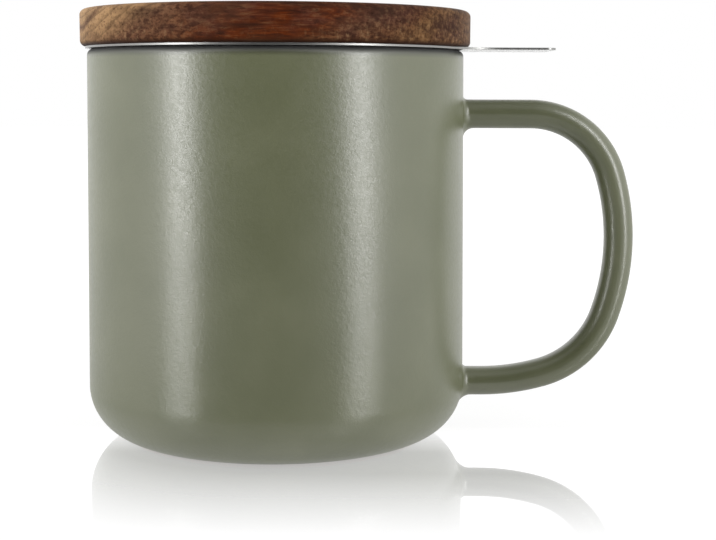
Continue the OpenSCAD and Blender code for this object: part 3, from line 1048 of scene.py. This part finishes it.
# ---------------------------------------------------------------- room and floor

# Brightness of the room from straight in front (0) past the sides (0.5) to straight behind (1)
ROOM_LEVELS = ((0.16, 0.0), (0.24, 0.55), (0.36, 1.05), (0.5, 1.05), (0.72, 1.0), (0.92, 1.25))
# Brightness of the ceiling, and how far up the room goes over into it, of 1 straight above
CEILING = 0.45
CEILING_FROM = (0.70, 0.85)
FLOOR_R = 3.0
# The middle line of mug and handle runs from the axis to this far along X
HANDLE_REACH = 80.0 * MM
# The floor mirrors the object most up to the first distance from that line, and not past
# the second
MIRROR_FADE = (42.0 * MM, 89.5 * MM)
MIRROR_MOST = 0.53
# It mirrors nothing behind the object; over this stretch of Y the mirror comes in
MIRROR_IN = (5.0 * MM, -22.0 * MM)
# Its own brightness near that line, and the stretch over which it rises to plain white
GLOW_NEAR = 0.90
GLOW_RISE = (90.0 * MM, 250.0 * MM)
# The grey under that glow, which the lamps light and the object shades
SHADOW_PAPER = (0.15, 0.15, 0.15)
# As paper that lights the object the floor is pale close round the foot, behind and far to
# the sides, and dim between: distances from the axis, along Y and from the middle in X
PAPER_PALE = 0.95
PAPER_DIM = 0.45
PAPER_ROUND = (44.0 * MM, 80.0 * MM)
PAPER_BEHIND = (-60.0 * MM, 60.0 * MM)
PAPER_BESIDE = (60.0 * MM, 150.0 * MM)
# The object's own gloss mirrors the floor as white up to this far from the axis, more at
# the sides than in the middle, and in a narrow ring close round the foot
WHITE_ROUND = (60.0 * MM, 90.0 * MM)
WHITE_BESIDE = (15.0 * MM, 35.0 * MM)
WHITE_FOOT = (44.0 * MM, 52.0 * MM)


def shader_mix(tree, factor, a, b):
    """A shader that goes from a to b as the factor goes from 0 to 1."""
    made = tree.nodes.new("ShaderNodeMixShader")
    for index, item in enumerate((factor, a, b)):
        tree.links.new(item, made.inputs[index])
    return made.outputs["Shader"]


def shader_of(tree, kind, values):
    """Adds a shader node of one kind with its own values and returns its output."""
    made = tree.nodes.new(kind)
    for label, item in values.items():
        put(tree, made.inputs[label], item)
    return made.outputs[0]


def studio_world():
    """A dark room in front, pale walls at the sides and behind, plain white for the camera."""
    world = bpy.data.worlds.new("studio")
    bpy.context.scene.world = world
    world.use_nodes = True
    tree = world.node_tree
    tree.nodes.clear()
    out = tree.nodes.new("ShaderNodeOutputWorld")
    where = tree.nodes.new("ShaderNodeTexCoord").outputs["Generated"]
    _, behind, above = axes_of(tree, where)
    walls = ramp(tree, spread(tree, behind, -1.0, 1.0),
                 [(share, (level,) * 3) for share, level in ROOM_LEVELS])
    room = mixed(tree, spread(tree, above, *CEILING_FROM), walls, (CEILING,) * 3)
    path = tree.nodes.new("ShaderNodeLightPath")
    shader = shader_mix(tree, path.outputs["Is Camera Ray"],
                        shader_of(tree, "ShaderNodeBackground", {"Color": room}),
                        shader_of(tree, "ShaderNodeBackground", {"Color": (1, 1, 1)}))
    tree.links.new(shader, out.inputs["Surface"])


def floor_for_camera(tree, x, y):
    """White with the object's soft shadow, and a mirror image that fades with distance."""
    past_handle = larger(tree, minus(tree, x, HANDLE_REACH), times(tree, x, -1.0))
    away = distance(tree, larger(tree, past_handle, 0.0), y)
    glow = spread(tree, away, *GLOW_RISE, GLOW_NEAR, 1.0)
    white = tree.nodes.new("ShaderNodeAddShader")
    tree.links.new(shader_of(tree, "ShaderNodeBsdfDiffuse", {"Color": SHADOW_PAPER}),
                   white.inputs[0])
    tree.links.new(shader_of(tree, "ShaderNodeEmission", {"Strength": glow}), white.inputs[1])
    mirror = shader_of(tree, "ShaderNodeBsdfGlossy", {"Color": (1, 1, 1), "Roughness": 0.0})
    fade = times(tree, spread(tree, away, *MIRROR_FADE, MIRROR_MOST, 0.0),
                 spread(tree, y, *MIRROR_IN))
    return shader_mix(tree, fade, white.outputs["Shader"], mirror)


def floor_for_object(tree, x, y, glossy_ray):
    """Paper that lights the object, mirrored as plain white by its gloss close to the foot."""
    from_axis = distance(tree, x, y)
    beside = size_of(tree, x)
    tone = larger(tree, spread(tree, from_axis, *PAPER_ROUND, PAPER_PALE, PAPER_DIM),
                  spread(tree, y, *PAPER_BEHIND, PAPER_DIM, PAPER_PALE))
    tone = larger(tree, tone, spread(tree, beside, *PAPER_BESIDE, PAPER_DIM, PAPER_PALE))
    paper = shader_of(tree, "ShaderNodeBsdfPrincipled",
                      {"Base Color": tone, "Roughness": 0.08, "IOR": 1.65})
    near = times(tree, spread(tree, from_axis, *WHITE_ROUND, 1.0, 0.0),
                 spread(tree, beside, *WHITE_BESIDE, 0.1, 0.7))
    near = larger(tree, near, spread(tree, from_axis, *WHITE_FOOT, 0.6, 0.0))
    white = shader_of(tree, "ShaderNodeEmission", {"Strength": GLOW_NEAR})
    return shader_mix(tree, times(tree, glossy_ray, near), paper, white)


def floor_material():
    """A white floor, with one shader for the camera and one for the object."""
    material = bpy.data.materials.new("white_floor")
    material.use_nodes = True
    tree = material.node_tree
    tree.nodes.clear()
    out = tree.nodes.new("ShaderNodeOutputMaterial")
    place = tree.nodes.new("ShaderNodeTexCoord").outputs["Object"]
    x, y, _ = axes_of(tree, place)
    path = tree.nodes.new("ShaderNodeLightPath")
    shader = shader_mix(tree, path.outputs["Is Camera Ray"],
                        floor_for_object(tree, x, y, path.outputs["Is Glossy Ray"]),
                        floor_for_camera(tree, x, y))
    tree.links.new(shader, out.inputs["Surface"])
    return material


def studio_floor():
    bm = bmesh.new()
    bmesh.ops.create_circle(bm, cap_ends=True, segments=64, radius=FLOOR_R)
    mesh = bpy.data.meshes.new("floor")
    bm.to_mesh(mesh)
    bm.free()
    mesh.materials.append(floor_material())
    floor = bpy.data.objects.new("floor", mesh)
    bpy.context.scene.collection.objects.link(floor)


front_camera()
softbox("left_softbox", azimuth=-57.5, power=2.9)
softbox("right_softbox", azimuth=49, power=2.75)
studio_world()
studio_floor()

bpy.context.scene.view_settings.view_transform = "Standard"
